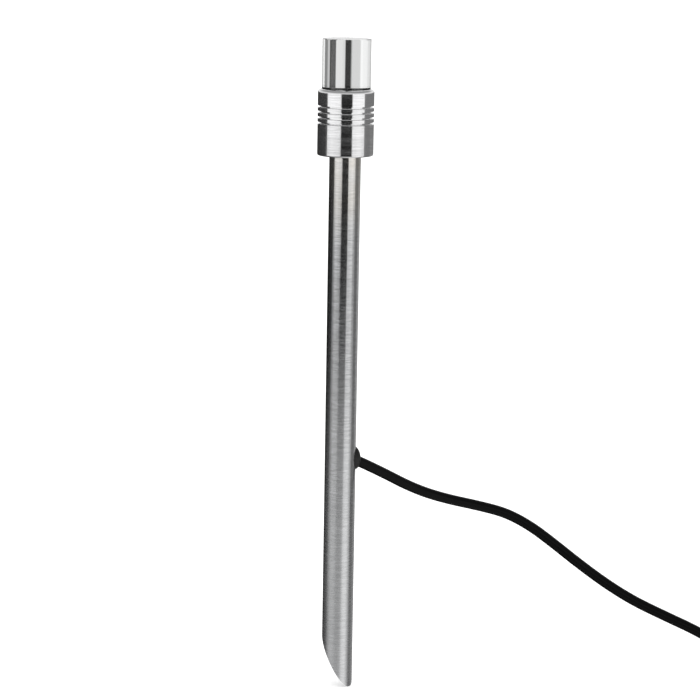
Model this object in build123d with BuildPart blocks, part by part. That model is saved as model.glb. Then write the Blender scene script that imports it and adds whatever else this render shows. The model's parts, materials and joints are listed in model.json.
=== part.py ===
from build123d import *

import os
from math import cos, pi, radians, sin, tan

# A slim underwater pond light on a tubular stake: a clear light rod in a turned metal head, an LED and its
# driver sealed inside the head, a stake tube cut obliquely at its foot, and a low-voltage lead that leaves
# the tube through a rubber grommet and ends in a waterproof two-pin plug.
#
# Millimetres. The origin is on the stake's axis at the level of its pointed tip, +Z is up, and the lead is
# laid out towards +X on the same level as the tip. A point on an outline is (radius, height) unless a
# comment says otherwise.

# Driving dimensions
overall_height = 420.6
rod_r = 15.3
rod_exposed = 31.3
head_r = 17.75
head_height = 41.6
tube_r = 10.0
tube_wall = 1.5
tip_slope = 1.79  # rise of the oblique cut for each millimetre across the tube
tip_azimuth = -31.7  # the side of the tube that holds the tip, in degrees from +X
cable_r = 3.4
exit_azimuth = 24.0  # the side of the tube that the lead leaves from
exit_dip = 26.5  # how steeply the lead points down as it leaves
exit_z = 150.3  # the lead's centre where it crosses the outside of the tube
fit = 0.1  # usual gap between neighbouring pieces

head_top = overall_height - rod_exposed
head_bottom = head_top - head_height
tube_bore_r = tube_r - tube_wall

# Four turned grooves round the head. The collar and the base part at the lowest one.
groove_depth = 2.15
groove_mouth = 1.45
groove_floor = 0.8
groove_first = 10.8
groove_pitch = 3.44
groove_heights = [head_top - groove_first - groove_pitch * i for i in range(4)]
seam_z = groove_heights[-1]

# Inside the head, from the rod's seat down to the tube's socket
rod_seat_z = head_top - 8.0
ledge_z = rod_seat_z - 1.3
ledge_bore_r = 12.0
thread_r = 14.05
spigot_r = 13.9
spigot_top = ledge_z - 0.5
chamber_r = 11.0
board_seat_z = spigot_top - 8.2
web = 3.0
cavity_top = board_seat_z - web
cavity_r = 8.6
socket_top = head_bottom + 9.0
socket_r = tube_r + 0.05
tube_top = head_bottom + 6.9
wire_circle_r = 6.9
wire_r = 0.6
screw_circle_r = 8.2
core_offset = 1.4


def outline(points, plane=Plane.XZ):
    """The closed face through these points of the plane."""
    with BuildSketch(plane) as face:
        with BuildLine():
            Polyline(*points, close=True)
        make_face()
    return face.sketch


def band(outer, inner, low, high):
    """Half the section of a plain ring round the Z axis."""
    return outline([(inner, low), (outer, low), (outer, high), (inner, high)])


def o_ring_section(centre_r, section_r, height):
    with BuildSketch(Plane.XZ) as face:
        with Locations((centre_r, height)):
            Circle(section_r)
    return face.sketch


def groove_section(height):
    """A turned groove with sloping flanks, cut inwards from the head's outside."""
    mouth, floor = groove_mouth / 2, groove_floor / 2
    skin, bottom = head_r + 0.4, head_r - groove_depth
    return outline([(skin, height - mouth), (bottom, height - floor), (bottom, height + floor), (skin, height + mouth)])


def tube_along(points, radii):
    """A cable-thick tube along straight runs joined by tangent arcs."""
    with BuildPart() as tube:
        with BuildLine() as path:
            FilletPolyline(*points, radius=radii)
        with BuildSketch(Plane(origin=path.line @ 0, z_dir=path.line % 0)):
            Circle(cable_r)
        sweep(path=path.line)
    by_volume = tube.part.volume / (pi * cable_r**2)
    print("tube", round(path.wire().length, 1), "mm long, by volume", round(by_volume, 1))
    return tube


def corner_radii(points):
    """The largest arc that each corner's two runs allow: 0.45 of the shorter run over the tangent of half the turn."""
    runs = [Vector(b) - Vector(a) for a, b in zip(points, points[1:])]
    radii = []
    for before, after in zip(runs, runs[1:]):
        half_turn = radians(before.get_angle(after)) / 2
        radii.append(0.45 * min(before.length, after.length) / tan(half_turn))
    print("bend radii", [round(r) for r in radii], "turns", [round(a.get_angle(b)) for a, b in zip(runs, runs[1:])])
    return radii


# ---- Light rod and the collar that holds it ----

gasket_thickness = 0.7

with BuildPart() as light_rod:
    revolve(outline([(0, rod_seat_z + 0.8), (rod_r, rod_seat_z + 0.8), (rod_r, overall_height), (0, overall_height)]))
    chamfer(light_rod.edges().sort_by(Axis.Z)[-1], 0.3)

with BuildPart() as lens_collar:
    revolve(
        outline(
            [
                (rod_r + fit, head_top),
                (head_r, head_top),
                (head_r, seam_z + fit / 2),
                (thread_r, seam_z + fit / 2),
                (thread_r, ledge_z),
                (ledge_bore_r, ledge_z),
                (ledge_bore_r, rod_seat_z),
                (rod_r + fit, rod_seat_z),
            ]
        )
    )
    top_rims = lens_collar.edges().filter_by(GeomType.CIRCLE).group_by(Axis.Z)[-1].sort_by(SortBy.RADIUS)
    fillet(top_rims[-1], 2.0)
    for groove_z in groove_heights:
        revolve(groove_section(groove_z), mode=Mode.SUBTRACT)

with BuildPart() as rod_gasket:
    revolve(band(rod_r, ledge_bore_r + 0.3, rod_seat_z + 0.05, rod_seat_z + 0.05 + gasket_thickness))

with BuildPart() as thrust_washer:
    revolve(band(spigot_r - fit, chamber_r + 0.3, spigot_top + 0.05, ledge_z - 0.05))

# ---- Head base, with the seal between it and the collar ----

seal_groove_z = seam_z + 1.7
seal_groove_width = 2.2
tube_groove_z = head_bottom + 3.0

with BuildPart() as head_base:
    revolve(
        outline(
            [
                (head_r, head_bottom),
                (head_r, seam_z - fit / 2),
                (spigot_r, seam_z - fit / 2),
                (spigot_r, spigot_top),
                (chamber_r, spigot_top),
                (chamber_r, board_seat_z),
                (0, board_seat_z),
                (0, cavity_top),
                (cavity_r, cavity_top),
                (cavity_r, socket_top),
                (socket_r, socket_top),
                (socket_r, head_bottom),
            ]
        )
    )
    bottom_rims = head_base.edges().filter_by(GeomType.CIRCLE).group_by(Axis.Z)[0].sort_by(SortBy.RADIUS)
    fillet(bottom_rims[-1], 0.9)
    chamfer(bottom_rims[0], 0.4)
    revolve(groove_section(seam_z), mode=Mode.SUBTRACT)
    revolve(
        band(spigot_r + 1, spigot_r - 1.4, seal_groove_z - seal_groove_width / 2, seal_groove_z + seal_groove_width / 2),
        mode=Mode.SUBTRACT,
    )
    revolve(
        band(socket_r + 1.7, socket_r - 1, tube_groove_z - seal_groove_width / 2, tube_groove_z + seal_groove_width / 2),
        mode=Mode.SUBTRACT,
    )
    with BuildSketch(Plane.XY.offset(cavity_top)):
        with PolarLocations(wire_circle_r, 2):
            Circle(1.2)
    extrude(amount=web, mode=Mode.SUBTRACT)
    with BuildSketch(Plane.XY.offset(board_seat_z - 2.5)):
        with PolarLocations(screw_circle_r, 2, start_angle=90):
            Circle(0.8)
    extrude(amount=2.5, mode=Mode.SUBTRACT)

with BuildPart() as collar_seal:
    revolve(o_ring_section(spigot_r - 0.66, 0.72, seal_groove_z))

with BuildPart() as tube_seal:
    revolve(o_ring_section(socket_r + 0.83, 0.8, tube_groove_z))

# ---- LED, its board and its reflector ----

pad_thickness = 0.3
board_thickness = 1.6
board_bottom = board_seat_z + pad_thickness + 0.02
board_top = board_bottom + board_thickness


def drilled_disc(radius, low, thickness, wire_hole, screw_hole):
    """A round plate with two wire holes on the X axis and two screw holes on the Y axis."""
    with BuildPart() as plate:
        with BuildSketch(Plane.XY.offset(low)):
            Circle(radius)
            with PolarLocations(wire_circle_r, 2):
                Circle(wire_hole, mode=Mode.SUBTRACT)
            with PolarLocations(screw_circle_r, 2, start_angle=90):
                Circle(screw_hole, mode=Mode.SUBTRACT)
        extrude(amount=thickness)
    return plate


thermal_pad = drilled_disc(chamber_r - 0.4, board_seat_z + 0.01, pad_thickness, 1.2, 1.2)
led_board = drilled_disc(chamber_r - 0.2, board_bottom, board_thickness, 0.9, 1.0)

with BuildPart() as led_chip:
    with BuildSketch(Plane.XY.offset(board_top + 0.01)):
        RectangleRounded(5.0, 5.0, 0.4)
    extrude(amount=0.8)

led_dome_z = board_top + 0.82
with BuildPart() as led_dome:
    with BuildSketch(Plane.XZ):
        with BuildLine():
            CenterArc((0, led_dome_z), 2.3, 0, 90)
            Polyline((0, led_dome_z + 2.3), (0, led_dome_z), (2.3, led_dome_z))
        make_face()
    revolve()

with BuildPart() as reflector_cup:
    revolve(
        outline(
            [
                (3.9, board_top + 0.6),
                (10.0, spigot_top - 0.4),
                (10.75, spigot_top - 0.4),
                (10.75, board_top + 0.03),
                (10.3, board_top + 0.03),
                (10.3, spigot_top - 1.1),
                (4.4, board_top + 0.06),
                (3.9, board_top + 0.06),
            ]
        )
    )

with BuildPart() as board_screws:
    with BuildSketch(Plane.XY.offset(board_seat_z - 2.4)):
        with PolarLocations(screw_circle_r, 2, start_angle=90):
            Circle(0.76)
    extrude(amount=board_top - board_seat_z + 2.45)
    with BuildSketch(Plane.XY.offset(board_top + 0.02)):
        with PolarLocations(screw_circle_r, 2, start_angle=90):
            Circle(1.7)
    extrude(amount=0.85)
    with BuildSketch(Plane.XY.offset(board_top + 0.87)):
        with PolarLocations(screw_circle_r, 2, start_angle=90):
            SlotOverall(2.4, 0.5)
    extrude(amount=-0.4, mode=Mode.SUBTRACT)

# ---- Driver board and its parts, under the web ----

driver_thickness = 1.2
driver_top = cavity_top - 2.8
driver_bottom = driver_top - driver_thickness
part_gap = 0.02

with BuildPart() as driver_board:
    with BuildSketch(Plane.XY.offset(driver_bottom)):
        Circle(cavity_r - 0.3)
    extrude(amount=driver_thickness)

with BuildPart() as board_spacer:
    revolve(band(cavity_r - 0.1, cavity_r - 0.9, driver_top + part_gap, cavity_top - part_gap))

with BuildPart() as driver_chip:
    with BuildSketch(Plane.XY.offset(driver_top + part_gap)):
        Rectangle(4.0, 5.0)
    extrude(amount=1.4)

with BuildPart() as capacitor:
    with BuildSketch(Plane.XY.offset(driver_bottom - part_gap)):
        with Locations((-5.0, 0)):
            Circle(2.6)
    extrude(amount=-5.2)
    fillet(capacitor.edges().filter_by(GeomType.CIRCLE), 0.3)

with BuildPart() as inductor:
    with BuildSketch(Plane.XY.offset(driver_bottom - part_gap)):
        with Locations((5.0, 0)):
            RectangleRounded(4.6, 4.6, 0.8)
    extrude(amount=-3.0)

with BuildPart() as rectifier:
    with BuildSketch(Plane.XY.offset(driver_bottom - part_gap)):
        with Locations((0, 5.4)):
            Rectangle(4.6, 3.6)
    extrude(amount=-1.6)


def upright_wire(x, y, low, high):
    with BuildPart() as wire:
        with BuildSketch(Plane.XY.offset(low)):
            with Locations((x, y)):
                Circle(wire_r)
        extrude(amount=high - low)
    return wire


led_lead_positive = upright_wire(wire_circle_r, 0, driver_top + part_gap, board_top + 0.5)
led_lead_negative = upright_wire(-wire_circle_r, 0, driver_top + part_gap, board_top + 0.5)

# ---- Cable gland that closes the driver's space, held between the tube's end and the head ----

gland_flange_top = socket_top - 0.7
jacket_top = gland_flange_top - 2.3
neck_r = 6.0
neck_bottom = tube_top - 11.0
seal_top = neck_bottom + 6.0
nut_r = neck_r + 0.1
nut_bottom = neck_bottom - 4.0

with BuildPart() as gland_gasket:
    revolve(band(socket_r - 0.1, cavity_r + 0.1, gland_flange_top + 0.03, socket_top - 0.03))

with BuildPart() as gland_body:
    revolve(
        outline(
            [
                (cable_r + 0.05, gland_flange_top),
                (socket_r - 0.1, gland_flange_top),
                (socket_r - 0.1, tube_top + 0.05),
                (neck_r, tube_top + 0.05),
                (neck_r, neck_bottom),
                (4.6, neck_bottom),
                (4.6, seal_top),
                (cable_r + 0.05, seal_top),
            ]
        )
    )

with BuildPart() as gland_seal:
    revolve(band(4.55, cable_r + 0.05, neck_bottom + 0.1, seal_top - 0.1))

with BuildPart() as gland_nut:
    with BuildSketch(Plane.XY.offset(nut_bottom)):
        RegularPolygon(radius=7.1, side_count=6, major_radius=False)
    extrude(amount=9.0)
    revolve(band(nut_r, 0, neck_bottom - 0.1, nut_bottom + 10), mode=Mode.SUBTRACT)
    revolve(band(cable_r + 0.2, 0, nut_bottom - 1, neck_bottom), mode=Mode.SUBTRACT)

positive_core = upright_wire(0, core_offset, jacket_top + part_gap, driver_bottom - part_gap)
negative_core = upright_wire(0, -core_offset, jacket_top + part_gap, driver_bottom - part_gap)

# ---- Stake tube, open at both ends ----

tip_side = (cos(radians(tip_azimuth)), sin(radians(tip_azimuth)))
exit_side = (cos(radians(exit_azimuth)), sin(radians(exit_azimuth)))
tip_plane = Plane(
    origin=(tube_r * tip_side[0], tube_r * tip_side[1], 0),
    z_dir=(tip_slope * tip_side[0], tip_slope * tip_side[1], 1),
)
grommet_z = exit_z + 1.3
grommet_neck_r = 5.5
exit_plane = Plane(origin=(0, 0, grommet_z), x_dir=(0, 0, 1), z_dir=(exit_side[0], exit_side[1], 0))

with BuildPart() as stake_tube:
    with BuildSketch():
        Circle(tube_r)
        Circle(tube_bore_r, mode=Mode.SUBTRACT)
    extrude(amount=tube_top)
    split(bisect_by=tip_plane, keep=Keep.TOP)
    with BuildSketch(exit_plane):
        Circle(grommet_neck_r)
    extrude(amount=tube_r + 1, mode=Mode.SUBTRACT)

# ---- The lead inside the tube, and the grommet it leaves through ----


def in_exit_plane(along, height):
    """A point in the upright plane through the stake's axis and the lead's exit."""
    return (along * exit_side[0], along * exit_side[1], height)


def exit_height(along):
    return exit_z - (along - tube_r) * tan(radians(exit_dip))


inner_offset = -4.2
lead_start_along = tube_r + 2.2
lead_start = in_exit_plane(lead_start_along, exit_height(lead_start_along))
inner_route = [
    (0, 0, jacket_top),
    (0, 0, 232),
    in_exit_plane(inner_offset, 196),
    in_exit_plane(inner_offset, exit_height(inner_offset)),
    lead_start,
]
inner_cable = tube_along(inner_route, [120, 120, 14])

stop_tie_z = 174.0
tie_centre = in_exit_plane(inner_offset, stop_tie_z)
with BuildPart() as cable_stop_tie:
    with BuildSketch(Plane.XY.offset(stop_tie_z)):
        with Locations(tie_centre[:2]):
            Circle(cable_r + 0.85)
            Circle(cable_r + 0.05, mode=Mode.SUBTRACT)
    extrude(amount=3.4)

grommet_r = 7.6
grommet_proud = 2.3
along_exit = Plane(
    origin=(0, 0, grommet_z), x_dir=(exit_side[0], exit_side[1], 0), z_dir=(exit_side[1], -exit_side[0], 0)
)
exit_axis = Axis((0, 0, grommet_z), (exit_side[0], exit_side[1], 0))
lead_axis = Vector(cos(radians(exit_dip)) * exit_side[0], cos(radians(exit_dip)) * exit_side[1], -sin(radians(exit_dip)))

# Outlines here are (distance out from the stake's axis, radius about the exit).
with BuildPart() as cable_grommet:
    with BuildSketch(along_exit):
        with BuildLine():
            Polyline((tube_r + 0.2, grommet_r), (5.0, grommet_r), (5.0, 0), (tube_r + grommet_proud, 0))
            Line((tube_r + grommet_proud, 0), (tube_r + grommet_proud, 4.2))
            ThreePointArc((tube_r + grommet_proud, 4.2), (tube_r + 1.55, 6.4), (tube_r + 0.2, grommet_r))
        make_face()
    revolve(axis=exit_axis)
    with BuildSketch(Plane.XY.offset(grommet_z - 20)):
        Circle(tube_r + 0.02)
    extrude(amount=40, mode=Mode.SUBTRACT)
    revolve(outline([(4.7, 0), (tube_r + 0.6, 0), (tube_r + 0.6, grommet_neck_r - 0.05), (4.7, grommet_neck_r - 0.05)], along_exit), axis=exit_axis)
    revolve(outline([(4.7, 0), (6.15, 0), (6.15, 5.7), (4.7, 5.7)], along_exit), axis=exit_axis)
    with BuildSketch(Plane(origin=lead_start, z_dir=lead_axis)):
        Circle(cable_r + 0.02)
    extrude(amount=14, both=True, mode=Mode.SUBTRACT)

# ---- The lead outside: down to the ground in slow waves, then along it to the hank ----

first_run = 16.0
lead_route = [
    lead_start,
    tuple(Vector(lead_start) + lead_axis * first_run),
    (47.3, 19.9, 128.1),
    (67.1, 26.4, 120.0),
    (95.0, 33.2, 112.7),
    (111.5, 35.6, 107.7),
    (127.5, 37.1, 98.7),
    (141.5, 37.6, 88.2),
    (160.0, 37.7, 73.6),
    (178.0, 37.0, 60.6),
    (197.0, 35.6, 49.1),
    (219.0, 33.6, 39.2),
    (240.0, 32.5, 29.9),
    (261.0, 32.2, 17.9),
    (280.0, 33.3, 8.4),
    (300.0, 35.2, 3.9),
    (320.0, 36.5, 3.6),
]
cable_lead = tube_along(lead_route, corner_radii(lead_route))

# ---- The rest of the lead, folded into a tied hank that lies in line with it ----

hank_x, hank_y = 370.0, 2.0
hank_run = 45.0  # half the straight run between the two end folds
fold_outer_r = 37.5
fold_inner_r = 17.5
waist_outer = 28.5
waist_inner = 8.0
hank_height = 34.0
strap_width = 12.0
strap_thickness = 1.3


def bone(waist, fold_r):
    """A long loop, drawn in at its waist, between two round ends."""
    ends = hank_run + fold_r
    with BuildLine() as loop:
        ThreePointArc((-hank_run, fold_r), (0, waist), (hank_run, fold_r))
        ThreePointArc((hank_run, fold_r), (ends, 0), (hank_run, -fold_r))
        ThreePointArc((hank_run, -fold_r), (0, -waist), (-hank_run, -fold_r))
        ThreePointArc((-hank_run, -fold_r), (-ends, 0), (-hank_run, fold_r))
    return loop.line


def strap_section(width, low, high, corner):
    """A section across the hank's waist, at the strap's near edge."""
    start = (hank_x - strap_width / 2, hank_y, (low + high) / 2)
    with BuildSketch(Plane(origin=start, x_dir=(0, 1, 0), z_dir=(1, 0, 0))) as face:
        RectangleRounded(width, high - low, corner)
    return face.sketch


# The strap passes under the hank, whose turns rise over it, and over the top.
strap_inside = 2 * (waist_outer - strap_thickness)
with BuildPart() as hank_tie:
    extrude(strap_section(2 * waist_outer, 0, hank_height + strap_thickness, 5.0), amount=strap_width)
    inside = strap_section(strap_inside, strap_thickness, hank_height, 3.7)
    extrude(inside, amount=strap_width, mode=Mode.SUBTRACT)

with BuildPart() as cable_hank:
    with BuildSketch(Plane(origin=(hank_x, hank_y, 0))):
        add(bone(waist_outer, fold_outer_r))
        make_face()
    extrude(amount=hank_height)
    rims = cable_hank.edges().group_by(Axis.Z)
    fillet(rims[0] + rims[-1], 2.5)
    with BuildSketch(Plane(origin=(hank_x, hank_y, 0))):
        add(bone(waist_inner, fold_inner_r))
        make_face()
    extrude(amount=hank_height, mode=Mode.SUBTRACT)
    slot_start = (hank_x - strap_width / 2 - 0.2, hank_y, hank_height / 2)
    with BuildSketch(Plane(origin=slot_start, x_dir=(0, 1, 0), z_dir=(1, 0, 0))):
        Rectangle(2 * waist_outer + 4, hank_height + 4)
        with Locations((0, strap_thickness / 2)):
            RectangleRounded(strap_inside - 0.1, hank_height - strap_thickness - 0.1, 3.9, mode=Mode.SUBTRACT)
    extrude(amount=strap_width + 0.4, mode=Mode.SUBTRACT)

# ---- The lead's end, which rises on to the hank and into the plug ----

plug_x, plug_y, plug_z = 360.0, -12.0, hank_height + 10.2
tail_route = [
    (422.0, -25.6, 31.2),
    (410.0, -23.6, 33.4),
    (397.0, -19.4, 37.3),
    (384.0, -14.9, 41.7),
    (371.0, plug_y, plug_z),
    (plug_x, plug_y, plug_z),
]
cable_tail = tube_along(tail_route, corner_radii(tail_route))

# ---- Waterproof two-pin plug, pointing back along -X ----
# Outlines here are (distance forward from the back of the strain relief, radius).

relief_length = 26.0
body_end = relief_length + 27.0
shoulder_r = 8.2
insulator_end = body_end + 9.0
pin_end = insulator_end + 7.0
nut_start = body_end - 4.6
nut_end = pin_end + 1.5
pin_offset = 3.5
plug_plane = Plane(origin=(plug_x, plug_y, plug_z), x_dir=(-1, 0, 0), z_dir=(0, 1, 0))
plug_axis = Axis((plug_x, plug_y, plug_z), (-1, 0, 0))


def across_plug(distance):
    """The plane across the plug at this distance forward."""
    return Plane(origin=(plug_x - distance, plug_y, plug_z), x_dir=(0, -1, 0), z_dir=(-1, 0, 0))


with BuildPart() as plug_strain_relief:
    revolve(outline([(0, 0), (0, 4.1), (relief_length, 6.6), (relief_length, 0)], plug_plane), axis=plug_axis)
    for notch in range(5):
        start = 3.5 + 4.0 * notch
        depth_r = 3.6 + 0.35 * notch
        revolve(
            outline([(start, depth_r), (start + 1.6, depth_r), (start + 1.6, 8), (start, 8)], plug_plane),
            axis=plug_axis,
            mode=Mode.SUBTRACT,
        )

with BuildPart() as plug_body:
    revolve(
        outline(
            [
                (relief_length + 0.02, 0),
                (relief_length + 0.02, 6.9),
                (relief_length + 1.5, 7.6),
                (body_end - 2.0, 7.6),
                (body_end - 2.0, shoulder_r),
                (body_end, shoulder_r),
                (body_end, 6.4),
                (insulator_end, 6.4),
                (insulator_end, 0),
            ],
            plug_plane,
        ),
        axis=plug_axis,
    )
    with BuildSketch(across_plug(relief_length + 3.0)):
        with PolarLocations(7.7, 10):
            SlotOverall(2.6, 1.0, rotation=0)
    extrude(amount=16.0, mode=Mode.SUBTRACT)
    revolve(
        outline([(body_end + 1.5, 5.3), (body_end + 3.7, 5.3), (body_end + 3.7, 8), (body_end + 1.5, 8)], plug_plane),
        axis=plug_axis,
        mode=Mode.SUBTRACT,
    )

with BuildPart() as plug_seal:
    with BuildSketch(plug_plane):
        with Locations((body_end + 2.6, 6.15)):
            Circle(0.8)
    revolve(axis=plug_axis)

with BuildPart() as plug_pins:
    with BuildSketch(across_plug(insulator_end + 0.02)):
        with Locations((pin_offset, 0), (-pin_offset, 0)):
            Circle(0.9)
    extrude(amount=pin_end - insulator_end)
    fillet(plug_pins.edges().filter_by(GeomType.CIRCLE).group_by(Axis.X)[0], 0.4)

with BuildPart() as coupling_nut:
    revolve(
        outline(
            [
                (nut_start, 7.8),
                (nut_start, 9.2),
                (nut_start + 0.8, 10.0),
                (nut_end - 0.8, 10.0),
                (nut_end, 9.2),
                (nut_end, 8.4),
                (nut_start + 2.0, 8.4),
                (nut_start + 2.0, 7.8),
            ],
            plug_plane,
        ),
        axis=plug_axis,
    )
    with BuildSketch(across_plug(nut_start + 2.4)):
        with PolarLocations(10.2, 20):
            Circle(0.75)
    extrude(amount=nut_end - nut_start - 4.0, mode=Mode.SUBTRACT)

# ---- Write one file for each piece ----

pieces = {
    "light_rod": light_rod,
    "lens_collar": lens_collar,
    "rod_gasket": rod_gasket,
    "thrust_washer": thrust_washer,
    "head_base": head_base,
    "collar_seal": collar_seal,
    "tube_seal": tube_seal,
    "thermal_pad": thermal_pad,
    "led_board": led_board,
    "led_chip": led_chip,
    "led_dome": led_dome,
    "reflector_cup": reflector_cup,
    "board_screws": board_screws,
    "driver_board": driver_board,
    "board_spacer": board_spacer,
    "driver_chip": driver_chip,
    "capacitor": capacitor,
    "inductor": inductor,
    "rectifier": rectifier,
    "led_lead_positive": led_lead_positive,
    "led_lead_negative": led_lead_negative,
    "gland_gasket": gland_gasket,
    "gland_body": gland_body,
    "gland_seal": gland_seal,
    "gland_nut": gland_nut,
    "positive_core": positive_core,
    "negative_core": negative_core,
    "stake_tube": stake_tube,
    "inner_cable": inner_cable,
    "cable_stop_tie": cable_stop_tie,
    "cable_grommet": cable_grommet,
    "cable_lead": cable_lead,
    "cable_hank": cable_hank,
    "hank_tie": hank_tie,
    "cable_tail": cable_tail,
    "plug_strain_relief": plug_strain_relief,
    "plug_body": plug_body,
    "plug_seal": plug_seal,
    "plug_pins": plug_pins,
    "coupling_nut": coupling_nut,
}
os.makedirs("parts", exist_ok=True)
for label, piece in pieces.items():
    piece.part.label = label
    export_step(piece.part, f"parts/{label}.step")
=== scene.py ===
# The looks of the underwater pond light. Lengths are in metres, except in the sections on the lead
# and the strap, which count in millimetres and multiply by mm where a curve or a mesh is made.

import json
import math

import bmesh
import bpy
from mathutils import Matrix, Vector


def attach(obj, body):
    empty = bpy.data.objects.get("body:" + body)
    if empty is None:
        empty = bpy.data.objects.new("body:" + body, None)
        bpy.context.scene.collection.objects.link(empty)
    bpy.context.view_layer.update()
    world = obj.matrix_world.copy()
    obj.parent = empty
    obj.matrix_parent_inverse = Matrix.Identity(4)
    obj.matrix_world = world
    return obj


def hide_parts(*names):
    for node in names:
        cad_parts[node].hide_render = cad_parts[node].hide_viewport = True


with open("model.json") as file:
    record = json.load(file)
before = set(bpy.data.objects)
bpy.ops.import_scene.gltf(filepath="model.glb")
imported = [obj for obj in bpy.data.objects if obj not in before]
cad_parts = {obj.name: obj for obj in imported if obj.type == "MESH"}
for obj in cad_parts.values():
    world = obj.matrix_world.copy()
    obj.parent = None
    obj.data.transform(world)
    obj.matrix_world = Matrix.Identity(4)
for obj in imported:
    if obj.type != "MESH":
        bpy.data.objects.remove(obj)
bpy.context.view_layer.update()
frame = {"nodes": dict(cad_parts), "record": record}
nodes = frame["nodes"]
scene = bpy.context.scene
mm = 0.001

# ---- Camera: almost level with the light, a little above it ----

pitch = math.radians(10.78)
roll = math.radians(0.985)
camera_place = Vector((0.00513, -1.475, 0.5038))
forward = Vector((0, math.cos(pitch), -math.sin(pitch)))
level_up = Vector((0, math.sin(pitch), math.cos(pitch)))
level_right = Vector((1, 0, 0))
right = math.cos(roll) * level_right + math.sin(roll) * level_up
up = -math.sin(roll) * level_right + math.cos(roll) * level_up
camera_data = bpy.data.cameras.new("camera")
camera_data.sensor_width = 36
camera_data.lens = 120.8
camera_data.clip_start = 0.05
camera_data.clip_end = 200
camera = bpy.data.objects.new("camera", camera_data)
scene.collection.objects.link(camera)
facing = Matrix((right, up, -forward)).transposed().to_4x4()
camera.matrix_world = Matrix.Translation(camera_place) @ facing
scene.camera = camera
scene.view_settings.view_transform = "Standard"

# ---- Node helpers: each returns the output that the next one takes ----


def link(tree, source, target):
    tree.links.new(source, target)


def math_node(tree, operation, a, b):
    node = tree.nodes.new("ShaderNodeMath")
    node.operation = operation
    for socket, value in zip(node.inputs, (a, b)):
        if isinstance(value, (int, float)):
            socket.default_value = value
        else:
            link(tree, value, socket)
    return node.outputs[0]


def ramp(tree, factor, stops):
    """A ramp from grey to grey, whose stops are (place from 0 to 1, grey)."""
    node = tree.nodes.new("ShaderNodeValToRGB")
    elements = node.color_ramp.elements
    while len(elements) < len(stops):
        elements.new(0.5)
    for element, (place, grey) in zip(elements, stops):
        element.position = place
        element.color = (grey, grey, grey, 1)
    link(tree, factor, node.inputs[0])
    return node.outputs[0]


def mix_colour(tree, factor, a, b):
    """From a to b; each is a colour, a grey or the output of another node."""
    node = tree.nodes.new("ShaderNodeMix")
    node.data_type = "RGBA"
    link(tree, factor, node.inputs[0])
    for socket, value in ((node.inputs[6], a), (node.inputs[7], b)):
        if isinstance(value, (int, float)):
            socket.default_value = (value, value, value, 1)
        elif isinstance(value, tuple):
            socket.default_value = (*value, 1)
        else:
            link(tree, value, socket)
    return node.outputs[2]


def smooth_step(tree, value, low, high):
    """0 at low and 1 at high, eased at both ends."""
    node = tree.nodes.new("ShaderNodeMapRange")
    node.interpolation_type = "SMOOTHSTEP"
    node.inputs["From Min"].default_value = low
    node.inputs["From Max"].default_value = high
    link(tree, value, node.inputs["Value"])
    return node.outputs["Result"]


def spread(tree, value, low, high, out_low, out_high):
    """Straight from out_low at low to out_high at high."""
    node = tree.nodes.new("ShaderNodeMapRange")
    numbers = {"From Min": low, "From Max": high, "To Min": out_low, "To Max": out_high}
    for name, number in numbers.items():
        node.inputs[name].default_value = number
    link(tree, value, node.inputs["Value"])
    return node.outputs["Result"]


# ---- Studio: a white room whose dark flags and pale boxes stand in fixed directions ----

world = bpy.data.worlds.new("studio")
scene.world = world
world.use_nodes = True
world.cycles.sampling_method = "NONE"
sky = world.node_tree
sky.nodes.clear()
direction = sky.nodes.new("ShaderNodeTexCoord").outputs["Generated"]
split_direction = sky.nodes.new("ShaderNodeSeparateXYZ")
link(sky, direction, split_direction.inputs[0])
east, north, height = split_direction.outputs
south = math_node(sky, "MULTIPLY", north, -1.0)
depth = math_node(sky, "MULTIPLY", height, -1.0)


def compass(sideways, ahead):
    """Direction round the light, 0 to 1 for -180 to 180 degrees, where 0.5 is straight ahead."""
    angle = math_node(sky, "ARCTAN2", sideways, ahead)
    return math_node(sky, "ADD", math_node(sky, "DIVIDE", angle, math.tau), 0.5)


def bands(angle, edges, soft):
    """Grey bands round the compass: (start in degrees, grey), each ending where the next starts."""
    stops = []
    for i, (start, grey) in enumerate(edges):
        place = start / 360 + 0.5
        if i:
            stops.append((place - soft, edges[i - 1][1]))
        stops.append((place + soft, grey))
    return ramp(sky, angle, stops)


# What the metal mirrors changes with how far down it looks. The bands start at the side away from
# the camera and run towards +X through the camera's side, which is at 0 degrees.
towards_camera = compass(east, south)
level_bands = bands(
    towards_camera,
    [(-180, 0.035), (-150, 0.055), (-80, 1.4), (-19, 0.013), (27, 1.4), (82, 0.24), (125, 0.22)],
    0.005,
)
middle_bands = bands(
    towards_camera,
    [
        *((-180, 0.015), (-115, 0.04), (-88, 0.34), (-68, 0.8), (-46, 0.5), (-27, 0.015)),
        *((8, 0.03), (28, 0.6), (46, 0.85), (68, 0.36), (90, 0.19), (122, 0.5)),
    ],
    0.012,
)
dim_bands = bands(
    towards_camera,
    [
        *((-180, 0.02), (-115, 0.035), (-88, 0.17), (-68, 0.33), (-46, 0.29), (-27, 0.015)),
        *((8, 0.035), (28, 0.6), (46, 0.62), (68, 0.33), (90, 0.2), (122, 0.42)),
    ],
    0.012,
)
low_bands = bands(
    towards_camera,
    [
        *((-180, 0.05), (-120, 0.12), (-88, 0.31), (-66, 0.6), (-24, 0.66), (12, 0.72)),
        *((28, 1.1), (46, 1.2), (68, 0.72), (86, 0.2), (124, 0.34)),
    ],
    0.02,
)
mirrored = mix_colour(sky, smooth_step(sky, depth, 0.095, 0.135), level_bands, middle_bands)
mirrored = mix_colour(sky, smooth_step(sky, depth, 0.14, 0.175), mirrored, dim_bands)
mirrored = mix_colour(sky, smooth_step(sky, depth, 0.195, 0.285), mirrored, low_bands)
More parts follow.
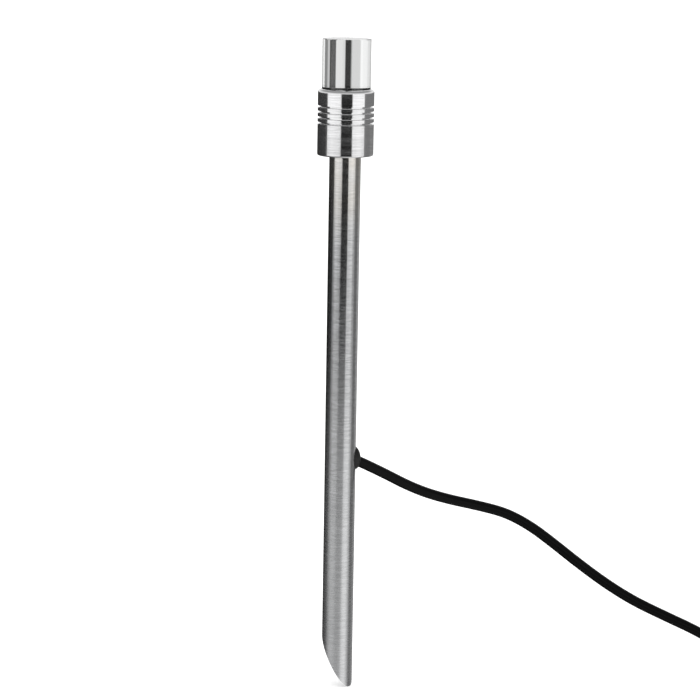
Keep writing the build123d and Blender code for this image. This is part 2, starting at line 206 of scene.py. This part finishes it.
mirrored = mix_colour(sky, smooth_step(sky, height, 0.0, 0.05), mirrored, 1.0)
mirrored = mix_colour(sky, smooth_step(sky, height, 0.2, 0.6), mirrored, 0.4)

# What shows through the clear rod: 0 degrees is straight behind the light.
seen_through = bands(
    compass(east, north),
    [
        *((-180, 0.6), (-70, 0.82), (-46.6, 0.95), (-24, 0.64), (-7.2, 0.024), (2.3, 0.745)),
        *((17.7, 0.045), (31.7, 0.56), (38.5, 0.24), (52.5, 1.08), (71, 0.6)),
    ],
    0.0015,
)
open_light = 1.6
backdrop = 1.0
path = sky.nodes.new("ShaderNodeLightPath")
light = mix_colour(sky, path.outputs["Is Glossy Ray"], open_light, mirrored)
light = mix_colour(sky, path.outputs["Is Transmission Ray"], light, seen_through)
light = mix_colour(sky, path.outputs["Is Camera Ray"], light, backdrop)
background = sky.nodes.new("ShaderNodeBackground")
link(sky, light, background.inputs["Color"])
world_output = sky.nodes.new("ShaderNodeOutputWorld")
link(sky, background.outputs[0], world_output.inputs["Surface"])


def simple(name, colour, roughness, metallic=0.0):
    """The floor's plain finish, and the start of every other one."""
    material = bpy.data.materials.new(name)
    material.use_nodes = True
    shader = material.node_tree.nodes["Principled BSDF"]
    shader.inputs["Base Color"].default_value = (*colour, 1)
    shader.inputs["Roughness"].default_value = roughness
    shader.inputs["Metallic"].default_value = metallic
    return material


floor_reach = 30
floor_corners = [
    (east_sign * floor_reach, north_sign * floor_reach, 0)
    for east_sign, north_sign in ((-1, -1), (1, -1), (1, 1), (-1, 1))
]
floor_mesh = bpy.data.meshes.new("floor")
floor_mesh.from_pydata(floor_corners, [], [(0, 1, 2, 3)])
floor = bpy.data.objects.new("floor", floor_mesh)
scene.collection.objects.link(floor)
floor_mesh.materials.append(simple("floor_white", (0.9, 0.9, 0.9), 1.0))
floor.visible_glossy = False
floor.visible_transmission = False

# ---- Materials, all worked out from the place on the object ----


def stretched(tree, stretch=(1, 1, 1)):
    """Places on the object in metres, squeezed so that a pattern runs as lines."""
    coordinates = tree.nodes.new("ShaderNodeTexCoord")
    mapping = tree.nodes.new("ShaderNodeMapping")
    mapping.inputs["Scale"].default_value = stretch
    link(tree, coordinates.outputs["Object"], mapping.inputs["Vector"])
    return mapping.outputs[0]


def noise(tree, scale, stretch=(1, 1, 1), detail=3.0):
    node = tree.nodes.new("ShaderNodeTexNoise")
    node.inputs["Scale"].default_value = scale
    node.inputs["Detail"].default_value = detail
    node.inputs["Roughness"].default_value = 0.55
    link(tree, stretched(tree, stretch), node.inputs["Vector"])
    return node.outputs[0]


def cells(tree, scale):
    """Distance to the nearest of many scattered points."""
    node = tree.nodes.new("ShaderNodeTexVoronoi")
    node.inputs["Scale"].default_value = scale
    link(tree, stretched(tree), node.inputs["Vector"])
    return node.outputs["Distance"]


def height_on(tree, low, high):
    """0 below low and 1 above high, in metres up the object."""
    split = tree.nodes.new("ShaderNodeSeparateXYZ")
    link(tree, stretched(tree), split.inputs[0])
    return smooth_step(tree, split.outputs[2], low, high)


class Finish:
    """A material being made, with the colour and the relief that it has reached so far."""

    def __init__(self, material):
        self.material = material
        self.tree = material.node_tree
        self.shader = self.tree.nodes["Principled BSDF"]
        self.colour = None
        self.normal = None

    def paint(self, colour):
        link(self.tree, colour, self.shader.inputs["Base Color"])
        self.colour = colour

    def bump(self, pattern, strength, distance):
        """Relief of the pattern, on top of the relief there is; distance is its height in metres."""
        node = self.tree.nodes.new("ShaderNodeBump")
        node.inputs["Strength"].default_value = strength
        node.inputs["Distance"].default_value = distance
        link(self.tree, pattern, node.inputs["Height"])
        if self.normal:
            link(self.tree, self.normal, node.inputs["Normal"])
        self.normal = node.outputs[0]
        link(self.tree, self.normal, self.shader.inputs["Normal"])

    def brush_round(self):
        """Brushed round the Z axis, as in a lathe."""
        tangent = self.tree.nodes.new("ShaderNodeTangent")
        tangent.direction_type = "RADIAL"
        tangent.axis = "Z"
        link(self.tree, tangent.outputs[0], self.shader.inputs["Tangent"])


def finish_of(
    name, dark, light, rough, scale, relief, metallic=0.0, stretch=(1, 1, 1), fixed=None
):
    """Mottled colour and roughness with a fine relief (strength, metres); fixed sets sockets."""
    finish = Finish(simple(name, light, rough[1], metallic))
    tree = finish.tree
    mottle = noise(tree, scale, stretch)
    broad = noise(tree, scale * 0.13, stretch, 2.0)
    colour = mix_colour(tree, spread(tree, mottle, 0.32, 0.68, 0.0, 1.0), dark, light)
    finish.paint(mix_colour(tree, spread(tree, broad, 0.35, 0.7, 0.0, 0.35), colour, dark))
    link(tree, spread(tree, broad, 0.3, 0.7, *rough), finish.shader.inputs["Roughness"])
    finish.bump(mottle, *relief)
    for socket, value in (fixed or {}).items():
        finish.shader.inputs[socket].default_value = value
    return finish


metallic = 1.0
round_lines = (0.04, 0.04, 1.0)

# The head: fine tool lines round it, each a little different, over a faint waviness.
metal = finish_of(
    "turned_steel",
    (0.64, 0.64, 0.645),
    (0.77, 0.77, 0.775),
    (0.07, 0.15),
    1900,
    (0.3, 0.00005),
    metallic,
    round_lines,
    {"Anisotropic": 0.6, "Anisotropic Rotation": 0.25},
)
metal.brush_round()
metal.bump(noise(metal.tree, 420, (1, 1, 0.6), 2.0), 0.12, 0.00006)

# The stake: drawn tube, bright and tinted by heat below the head, duller towards the foot.
tube = finish_of(
    "tube_steel",
    (0.53, 0.535, 0.54),
    (0.7, 0.705, 0.715),
    (0.12, 0.3),
    1500,
    (0.3, 0.00005),
    metallic,
    (0.09, 0.09, 1.0),
    {"Anisotropic": 0.55, "Anisotropic Rotation": 0.25},
)
tube.brush_round()
near_head = height_on(tube.tree, 0.29, 0.335)
patches = spread(tube.tree, noise(tube.tree, 60, (1, 1, 0.7)), 0.4, 0.7, 0.0, 1.0)
tinted = mix_colour(tube.tree, patches, (0.72, 0.66, 0.56), (0.69, 0.7, 0.72))
faint = math_node(tube.tree, "MULTIPLY", near_head, 0.45)
tube.paint(mix_colour(tube.tree, faint, tube.colour, tinted))
duller = spread(tube.tree, height_on(tube.tree, 0.06, 0.31), 0.0, 1.0, 0.28, 0.12)
grain = spread(tube.tree, noise(tube.tree, 900, (0.2, 0.2, 1.0)), 0.3, 0.7, -0.035, 0.035)
link(tube.tree, math_node(tube.tree, "ADD", duller, grain), tube.shader.inputs["Roughness"])

clear = finish_of(
    "clear_acrylic",
    (0.975, 0.985, 0.98),
    (1.0, 1.0, 1.0),
    (0.0, 0.012),
    160,
    (0.02, 0.00002),
    fixed={"Transmission Weight": 1.0, "IOR": 1.49},
)
cable_rubber = finish_of(
    "cable_rubber",
    (0.0006, 0.0006, 0.0007),
    (0.0018, 0.0018, 0.002),
    (0.26, 0.38),
    1400,
    (0.12, 0.00004),
    fixed={"Specular IOR Level": 0.1},
)
cable_rubber.bump(noise(cable_rubber.tree, 130, detail=2.0), 0.1, 0.0002)
rubber = finish_of(
    "seal_rubber",
    (0.003, 0.003, 0.0033),
    (0.009, 0.009, 0.0095),
    (0.42, 0.6),
    2200,
    (0.2, 0.00004),
    fixed={"Specular IOR Level": 0.3},
)
rubber.bump(cells(rubber.tree, 900), 0.08, 0.00005)
plastic = finish_of(
    "black_plastic",
    (0.014, 0.014, 0.016),
    (0.03, 0.03, 0.033),
    (0.34, 0.48),
    1800,
    (0.35, 0.00004),
)
plastic.bump(cells(plastic.tree, 2600), 0.18, 0.00003)
nylon = finish_of(
    "nylon",
    (0.66, 0.64, 0.57),
    (0.8, 0.79, 0.74),
    (0.36, 0.5),
    700,
    (0.1, 0.00003),
    fixed={"Subsurface Weight": 0.12, "Subsurface Scale": 0.002},
)
thermal = finish_of(
    "thermal_silicone",
    (0.4, 0.43, 0.47),
    (0.58, 0.61, 0.64),
    (0.55, 0.7),
    2500,
    (0.3, 0.00005),
)
phosphor = finish_of(
    "phosphor",
    (0.82, 0.62, 0.1),
    (0.95, 0.83, 0.25),
    (0.5, 0.7),
    4200,
    (0.35, 0.00004),
)
gel = finish_of(
    "silicone_clear",
    (0.93, 0.92, 0.87),
    (0.98, 0.98, 0.96),
    (0.02, 0.08),
    500,
    (0.04, 0.00003),
    fixed={"Transmission Weight": 0.92, "IOR": 1.41},
)
chrome = finish_of(
    "reflector",
    (0.8, 0.8, 0.81),
    (0.9, 0.9, 0.91),
    (0.03, 0.1),
    300,
    (0.05, 0.00005),
    metallic,
)
can = finish_of(
    "can_metal",
    (0.42, 0.43, 0.47),
    (0.6, 0.61, 0.65),
    (0.2, 0.34),
    900,
    (0.15, 0.00003),
    metallic,
    round_lines,
)
plated = finish_of(
    "fastener_steel",
    (0.5, 0.5, 0.49),
    (0.7, 0.69, 0.66),
    (0.2, 0.38),
    1100,
    (0.2, 0.00003),
    metallic,
)
brass = finish_of(
    "pin_brass",
    (0.6, 0.44, 0.2),
    (0.83, 0.67, 0.36),
    (0.14, 0.3),
    1300,
    (0.2, 0.00003),
    metallic,
    (1, 0.1, 0.1),
)
copper = finish_of(
    "copper",
    (0.6, 0.28, 0.14),
    (0.86, 0.52, 0.34),
    (0.2, 0.36),
    1600,
    (0.15, 0.00003),
    metallic,
)
strands = copper.tree.nodes.new("ShaderNodeTexWave")
strands.bands_direction = "DIAGONAL"
strands.inputs["Scale"].default_value = 420
link(copper.tree, stretched(copper.tree), strands.inputs["Vector"])
copper.bump(strands.outputs["Fac"], 0.5, 0.0001)

ferrite = finish_of(
    "ferrite",
    (0.05, 0.05, 0.055),
    (0.12, 0.12, 0.125),
    (0.5, 0.72),
    3000,
    (0.5, 0.00006),
)
speckle = spread(ferrite.tree, cells(ferrite.tree, 2400), 0.0, 0.35, 1.0, 0.0)
speckle = math_node(ferrite.tree, "MULTIPLY", speckle, 0.3)
ferrite.paint(mix_colour(ferrite.tree, speckle, ferrite.colour, (0.24, 0.24, 0.25)))


def board(name, dark, light, track_colour):
    """Solder mask over raised copper tracks that run between square fields."""
    made = finish_of(name, dark, light, (0.25, 0.38), 1200, (0.08, 0.00002))
    grid = made.tree.nodes.new("ShaderNodeTexBrick")
    grid.inputs["Scale"].default_value = 260
    grid.inputs["Mortar Size"].default_value = 0.05
    grid.inputs["Color1"].default_value = (0, 0, 0, 1)
    grid.inputs["Color2"].default_value = (0, 0, 0, 1)
    grid.inputs["Mortar"].default_value = (1, 1, 1, 1)
    link(made.tree, stretched(made.tree), grid.inputs["Vector"])
    made.paint(mix_colour(made.tree, grid.outputs["Color"], made.colour, track_colour))
    made.bump(grid.outputs["Color"], 0.4, 0.00004)
    return made


board_white = board("board_white", (0.78, 0.78, 0.75), (0.88, 0.88, 0.86), (0.7, 0.72, 0.7))
board_green = board("board_green", (0.018, 0.17, 0.075), (0.03, 0.24, 0.11), (0.06, 0.34, 0.15))

finish_by_slot = {
    "clear_acrylic": clear,
    "turned_steel": metal,
    "tube_steel": tube,
    "fastener_steel": plated,
    "seal_rubber": rubber,
    "cable_rubber": cable_rubber,
    "nylon": nylon,
    "black_plastic": plastic,
    "thermal_silicone": thermal,
    "board_white": board_white,
    "board_green": board_green,
    "phosphor": phosphor,
    "silicone_clear": gel,
    "reflector": chrome,
    "copper": copper,
    "can_metal": can,
    "ferrite": ferrite,
    "pin_brass": brass,
}
for part in frame["record"]["subparts"]:
    part_mesh = nodes[part["node"]].data
    part_mesh.materials.clear()
    part_mesh.materials.append(finish_by_slot[part["material_slot"]].material)

# ---- The lead: out of the grommet, down in slow waves, along the ground and into the hank ----

cable_radius = 3.4
cable_across = 2 * cable_radius
grommet_reach = 12.2
grommet_proud = 2.2
exit_height = 150.3
exit_bearing = math.radians(24)
exit_dip = math.radians(26.5)
straight_run = 16
exit_side = Vector((math.cos(exit_bearing), math.sin(exit_bearing), 0))
lead_axis = exit_side * math.cos(exit_dip) - Vector((0, 0, math.sin(exit_dip)))
mouth_height = exit_height - grommet_proud * math.tan(exit_dip)
lead_start = exit_side * grommet_reach + Vector((0, 0, mouth_height))
lead_route = [
    lead_start,
    lead_start + lead_axis * straight_run,
    (47.3, 19.9, 128.1),
    (67.1, 26.4, 120.0),
    (95.0, 33.2, 112.7),
    (111.5, 35.6, 107.7),
    (127.5, 37.1, 98.7),
    (141.5, 37.6, 88.2),
    (160.0, 37.7, 73.6),
    (178.0, 37.0, 60.6),
    (197.0, 35.6, 49.1),
    (219.0, 33.6, 39.2),
    (240.0, 32.5, 29.9),
    (261.0, 32.2, 17.9),
    (280.0, 33.3, 8.4),
    (300.0, 35.2, 3.9),
    (316.0, 36.3, 3.4),
]

# The hank is wound as a person folds a lead: long loops side by side, then on top of one another.
# Each loop is (half its width, height of its middle).
hank_x, hank_y = 370.0, 2.0
half_run = 40.0
side_reach = 36.2
side_places = (-side_reach, -28, -18, -8, 8, 18, 28, side_reach)
waist_depth = 6.0
lift_reach = 26
strap_lift = 1.3
outer_track = 35.2
layers = 5
per_layer = 3
loop_count = 14
arc_points = 9
arc_step = 20
arc_draw = 0.985
climb_bulge = 2.6
tail_rise = 1.2
loops = []
for layer in range(layers):
    inwards = range(per_layer) if layer % 2 == 0 else reversed(range(per_layer))
    layer_z = cable_radius + cable_across * layer
    loops += [(outer_track - cable_across * track, layer_z) for track in inwards]
loops = loops[:loop_count]


def waist(x):
    """How far the strap draws a side in."""
    return waist_depth * 0.5 * (1 + math.cos(math.pi * min(1.0, abs(x) / side_reach)))


def lift(x):
    """How far the strap under the hank holds a side up."""
    return strap_lift * max(0.0, 1 - abs(x) / lift_reach) ** 0.5


def hank_point(x, offset, z):
    return (hank_x + x, hank_y + offset, z)


def far_side(r, z):
    return [hank_point(x, r - waist(x), z + lift(x)) for x in side_places]


def near_side(r, z, next_r, next_z):
    """Each loop moves over to the next track or layer here, to come round beside the one before."""
    bulge = 0 if next_z == z else climb_bulge if r == outer_track else -climb_bulge
    points = []
    for x in reversed(side_places):
        along = (side_reach - x) / (2 * side_reach)
        moved = along * along * (3 - 2 * along)
        now_r = r + (next_r - r) * moved + bulge * math.sin(math.pi * moved) ** 2
        now_z = z + (next_z - z) * moved
        points.append(hank_point(x, -(now_r - waist(x)), now_z + lift(x)))
    return points


def fold(centre_x, first_degrees, r, z, rise=0.0):
    """The turn at one end of a loop. Its points lie outside the arc that the curve follows."""
    wide = r / arc_draw
    points = []
    for step in range(arc_points):
        degrees = first_degrees - arc_step * step
        a = math.radians(degrees)
        up_now = max(0.0, (20 - degrees) / 100) * rise
        points.append(
            hank_point(centre_x + wide * math.cos(a), wide * math.sin(a), z + up_now)
        )
    return points


hank_route = []
for (r, z), (next_r, next_z) in zip(loops, loops[1:]):
    hank_route += far_side(r, z)
    hank_route += fold(half_run, 80, r, z)
    hank_route += near_side(r, z, next_r, next_z)
    hank_route += fold(-half_run, -100, next_r, next_z)
hank_route += far_side(*loops[-1])
hank_route += fold(half_run, 80, *loops[-1], rise=tail_rise)
tail_route = [
    (405.3, -25.5, 33.2),
    (394.0, -21.5, 36.6),
    (382.5, -16.6, 40.4),
    (371.0, -13.0, 43.0),
    (360.0, -12.0, 44.2),
]

cable_curve = bpy.data.curves.new("cable", "CURVE")
cable_curve.dimensions = "3D"
spline = cable_curve.splines.new("NURBS")
route = [Vector(p) * mm for p in [*lead_route, *hank_route, *tail_route]]
spline.points.add(len(route) - 1)
for point, place in zip(spline.points, route):
    point.co = (*place, 1)
spline.order_u = 3
spline.use_endpoint_u = True
spline.resolution_u = 8
cable_curve.bevel_depth = cable_radius * mm
cable_curve.bevel_resolution = 6
cable = bpy.data.objects.new("cable", cable_curve)
scene.collection.objects.link(cable)
cable_curve.materials.append(cable_rubber.material)
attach(cable, "stand")
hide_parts("cable_lead", "cable_hank", "cable_tail")

# ---- The strap round the hank's waist: moulded rubber, raised edges, cross ribs and a button ----

strap_y = 1.0
strap_half_width = 6.0
strap_inner_side = 34.7
strap_top = 36.6
strap_thick = 1.25
strap_corner = 5.0
corner_steps = 12
long_steps = 34
short_steps = 18
rib_every = 3
rib_height = 0.24
rib_half_width = 4.8


def strap_line():
    """The strap's outer face, once round, as (y, z, outward y, outward z) in millimetres."""
    middle_z = strap_top / 2
    reach_y = strap_inner_side + strap_thick - strap_corner
    reach_z = strap_top / 2 - strap_corner
    corners = ((1, 1), (-1, 1), (-1, -1), (1, -1))
    line = []
    for index, (corner_y, corner_z) in enumerate(corners):
        start = 90 * index
        for step in range(corner_steps + 1):
            a = math.radians(start + 90 / corner_steps * step)
            y = corner_y * reach_y + strap_corner * math.cos(a)
            z = corner_z * reach_z + strap_corner * math.sin(a)
            line.append((strap_y + y, middle_z + z, math.cos(a), math.sin(a)))
        next_y, next_z = corners[(index + 1) % len(corners)]
        a = math.radians(start + 90)
        from_y, from_z = line[-1][:2]
        to_y = strap_y + next_y * reach_y + strap_corner * math.cos(a)
        to_z = middle_z + next_z * reach_z + strap_corner * math.sin(a)
        steps = long_steps if index % 2 == 0 else short_steps
        for step in range(1, steps):
            t = step / steps
            y = from_y + (to_y - from_y) * t
            z = from_z + (to_z - from_z) * t
            line.append((y, z, math.cos(a), math.sin(a)))
    return line


# Its outline across, as (place from its middle, height above its inner face). The raised edge is
# (in from the strap's edge, height above its inner face).
raised_edge = [(0.0, 0.9), (0.15, 1.12), (0.6, 1.22), (1.1, 1.12), (1.4, 0.86)]
face_height = 0.86
inner_bevel = 0.1
inner_half_width = strap_half_width - inner_bevel
profile = [(inset - strap_half_width, above) for inset, above in raised_edge]
profile += [(0.0, face_height)]
profile += [(strap_half_width - inset, above) for inset, above in reversed(raised_edge)]
profile += [(strap_half_width, inner_bevel), (inner_half_width, 0.0)]
profile += [(-inner_half_width, 0.0), (-strap_half_width, inner_bevel)]
strap_mesh = bmesh.new()
rings = []
for index, (y, z, out_y, out_z) in enumerate(strap_line()):
    ribbed = index % rib_every == 0 and out_z > -0.5
    ring = []
    for x, above in profile:
        if ribbed and abs(x) < rib_half_width and above > strap_thick / 2:
            above += rib_height
        inward = strap_thick - above
        corner = ((hank_x + x) * mm, (y - out_y * inward) * mm, (z - out_z * inward) * mm)
        ring.append(strap_mesh.verts.new(corner))
    rings.append(ring)
for ring, following in zip(rings, [*rings[1:], rings[0]]):
    for i in range(len(profile)):
        j = (i + 1) % len(profile)
        strap_mesh.faces.new((ring[i], ring[j], following[j], following[i]))

# The button that holds the strap's end: a neck and a domed head, clear of the plug's lead.
# Its outline is (radius, height above the strap's top).
button_y = hank_y + 10.0
button_turns = 32
button = [(1.5, -0.4), (1.5, 0.7), (3.1, 0.9), (3.5, 1.3), (3.4, 1.9), (2.6, 2.4), (1.3, 2.65)]
button_crown = 2.7
button_rings = []
for radius, above in button:
    ring = []
    for k in range(button_turns):
        a = math.tau * k / button_turns
        x = hank_x + radius * math.cos(a)
        y = button_y + radius * math.sin(a)
        ring.append(strap_mesh.verts.new((x * mm, y * mm, (strap_top + above) * mm)))
    button_rings.append(ring)
crown_place = (hank_x * mm, button_y * mm, (strap_top + button_crown) * mm)
crown = strap_mesh.verts.new(crown_place)
for ring, following in zip(button_rings, button_rings[1:]):
    for k in range(button_turns):
        j = (k + 1) % button_turns
        strap_mesh.faces.new((ring[k], ring[j], following[j], following[k]))
for k in range(button_turns):
    j = (k + 1) % button_turns
    strap_mesh.faces.new((button_rings[-1][k], button_rings[-1][j], crown))
strap_mesh.faces.new(tuple(reversed(button_rings[0])))
bmesh.ops.recalc_face_normals(strap_mesh, faces=strap_mesh.faces)
strap_data = bpy.data.meshes.new("hank_strap")
strap_mesh.to_mesh(strap_data)
strap_mesh.free()
for face in strap_data.polygons:
    face.use_smooth = True
strap_data.materials.append(rubber.material)
strap = bpy.data.objects.new("hank_strap", strap_data)
scene.collection.objects.link(strap)
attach(strap, "stand")
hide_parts("hank_tie")
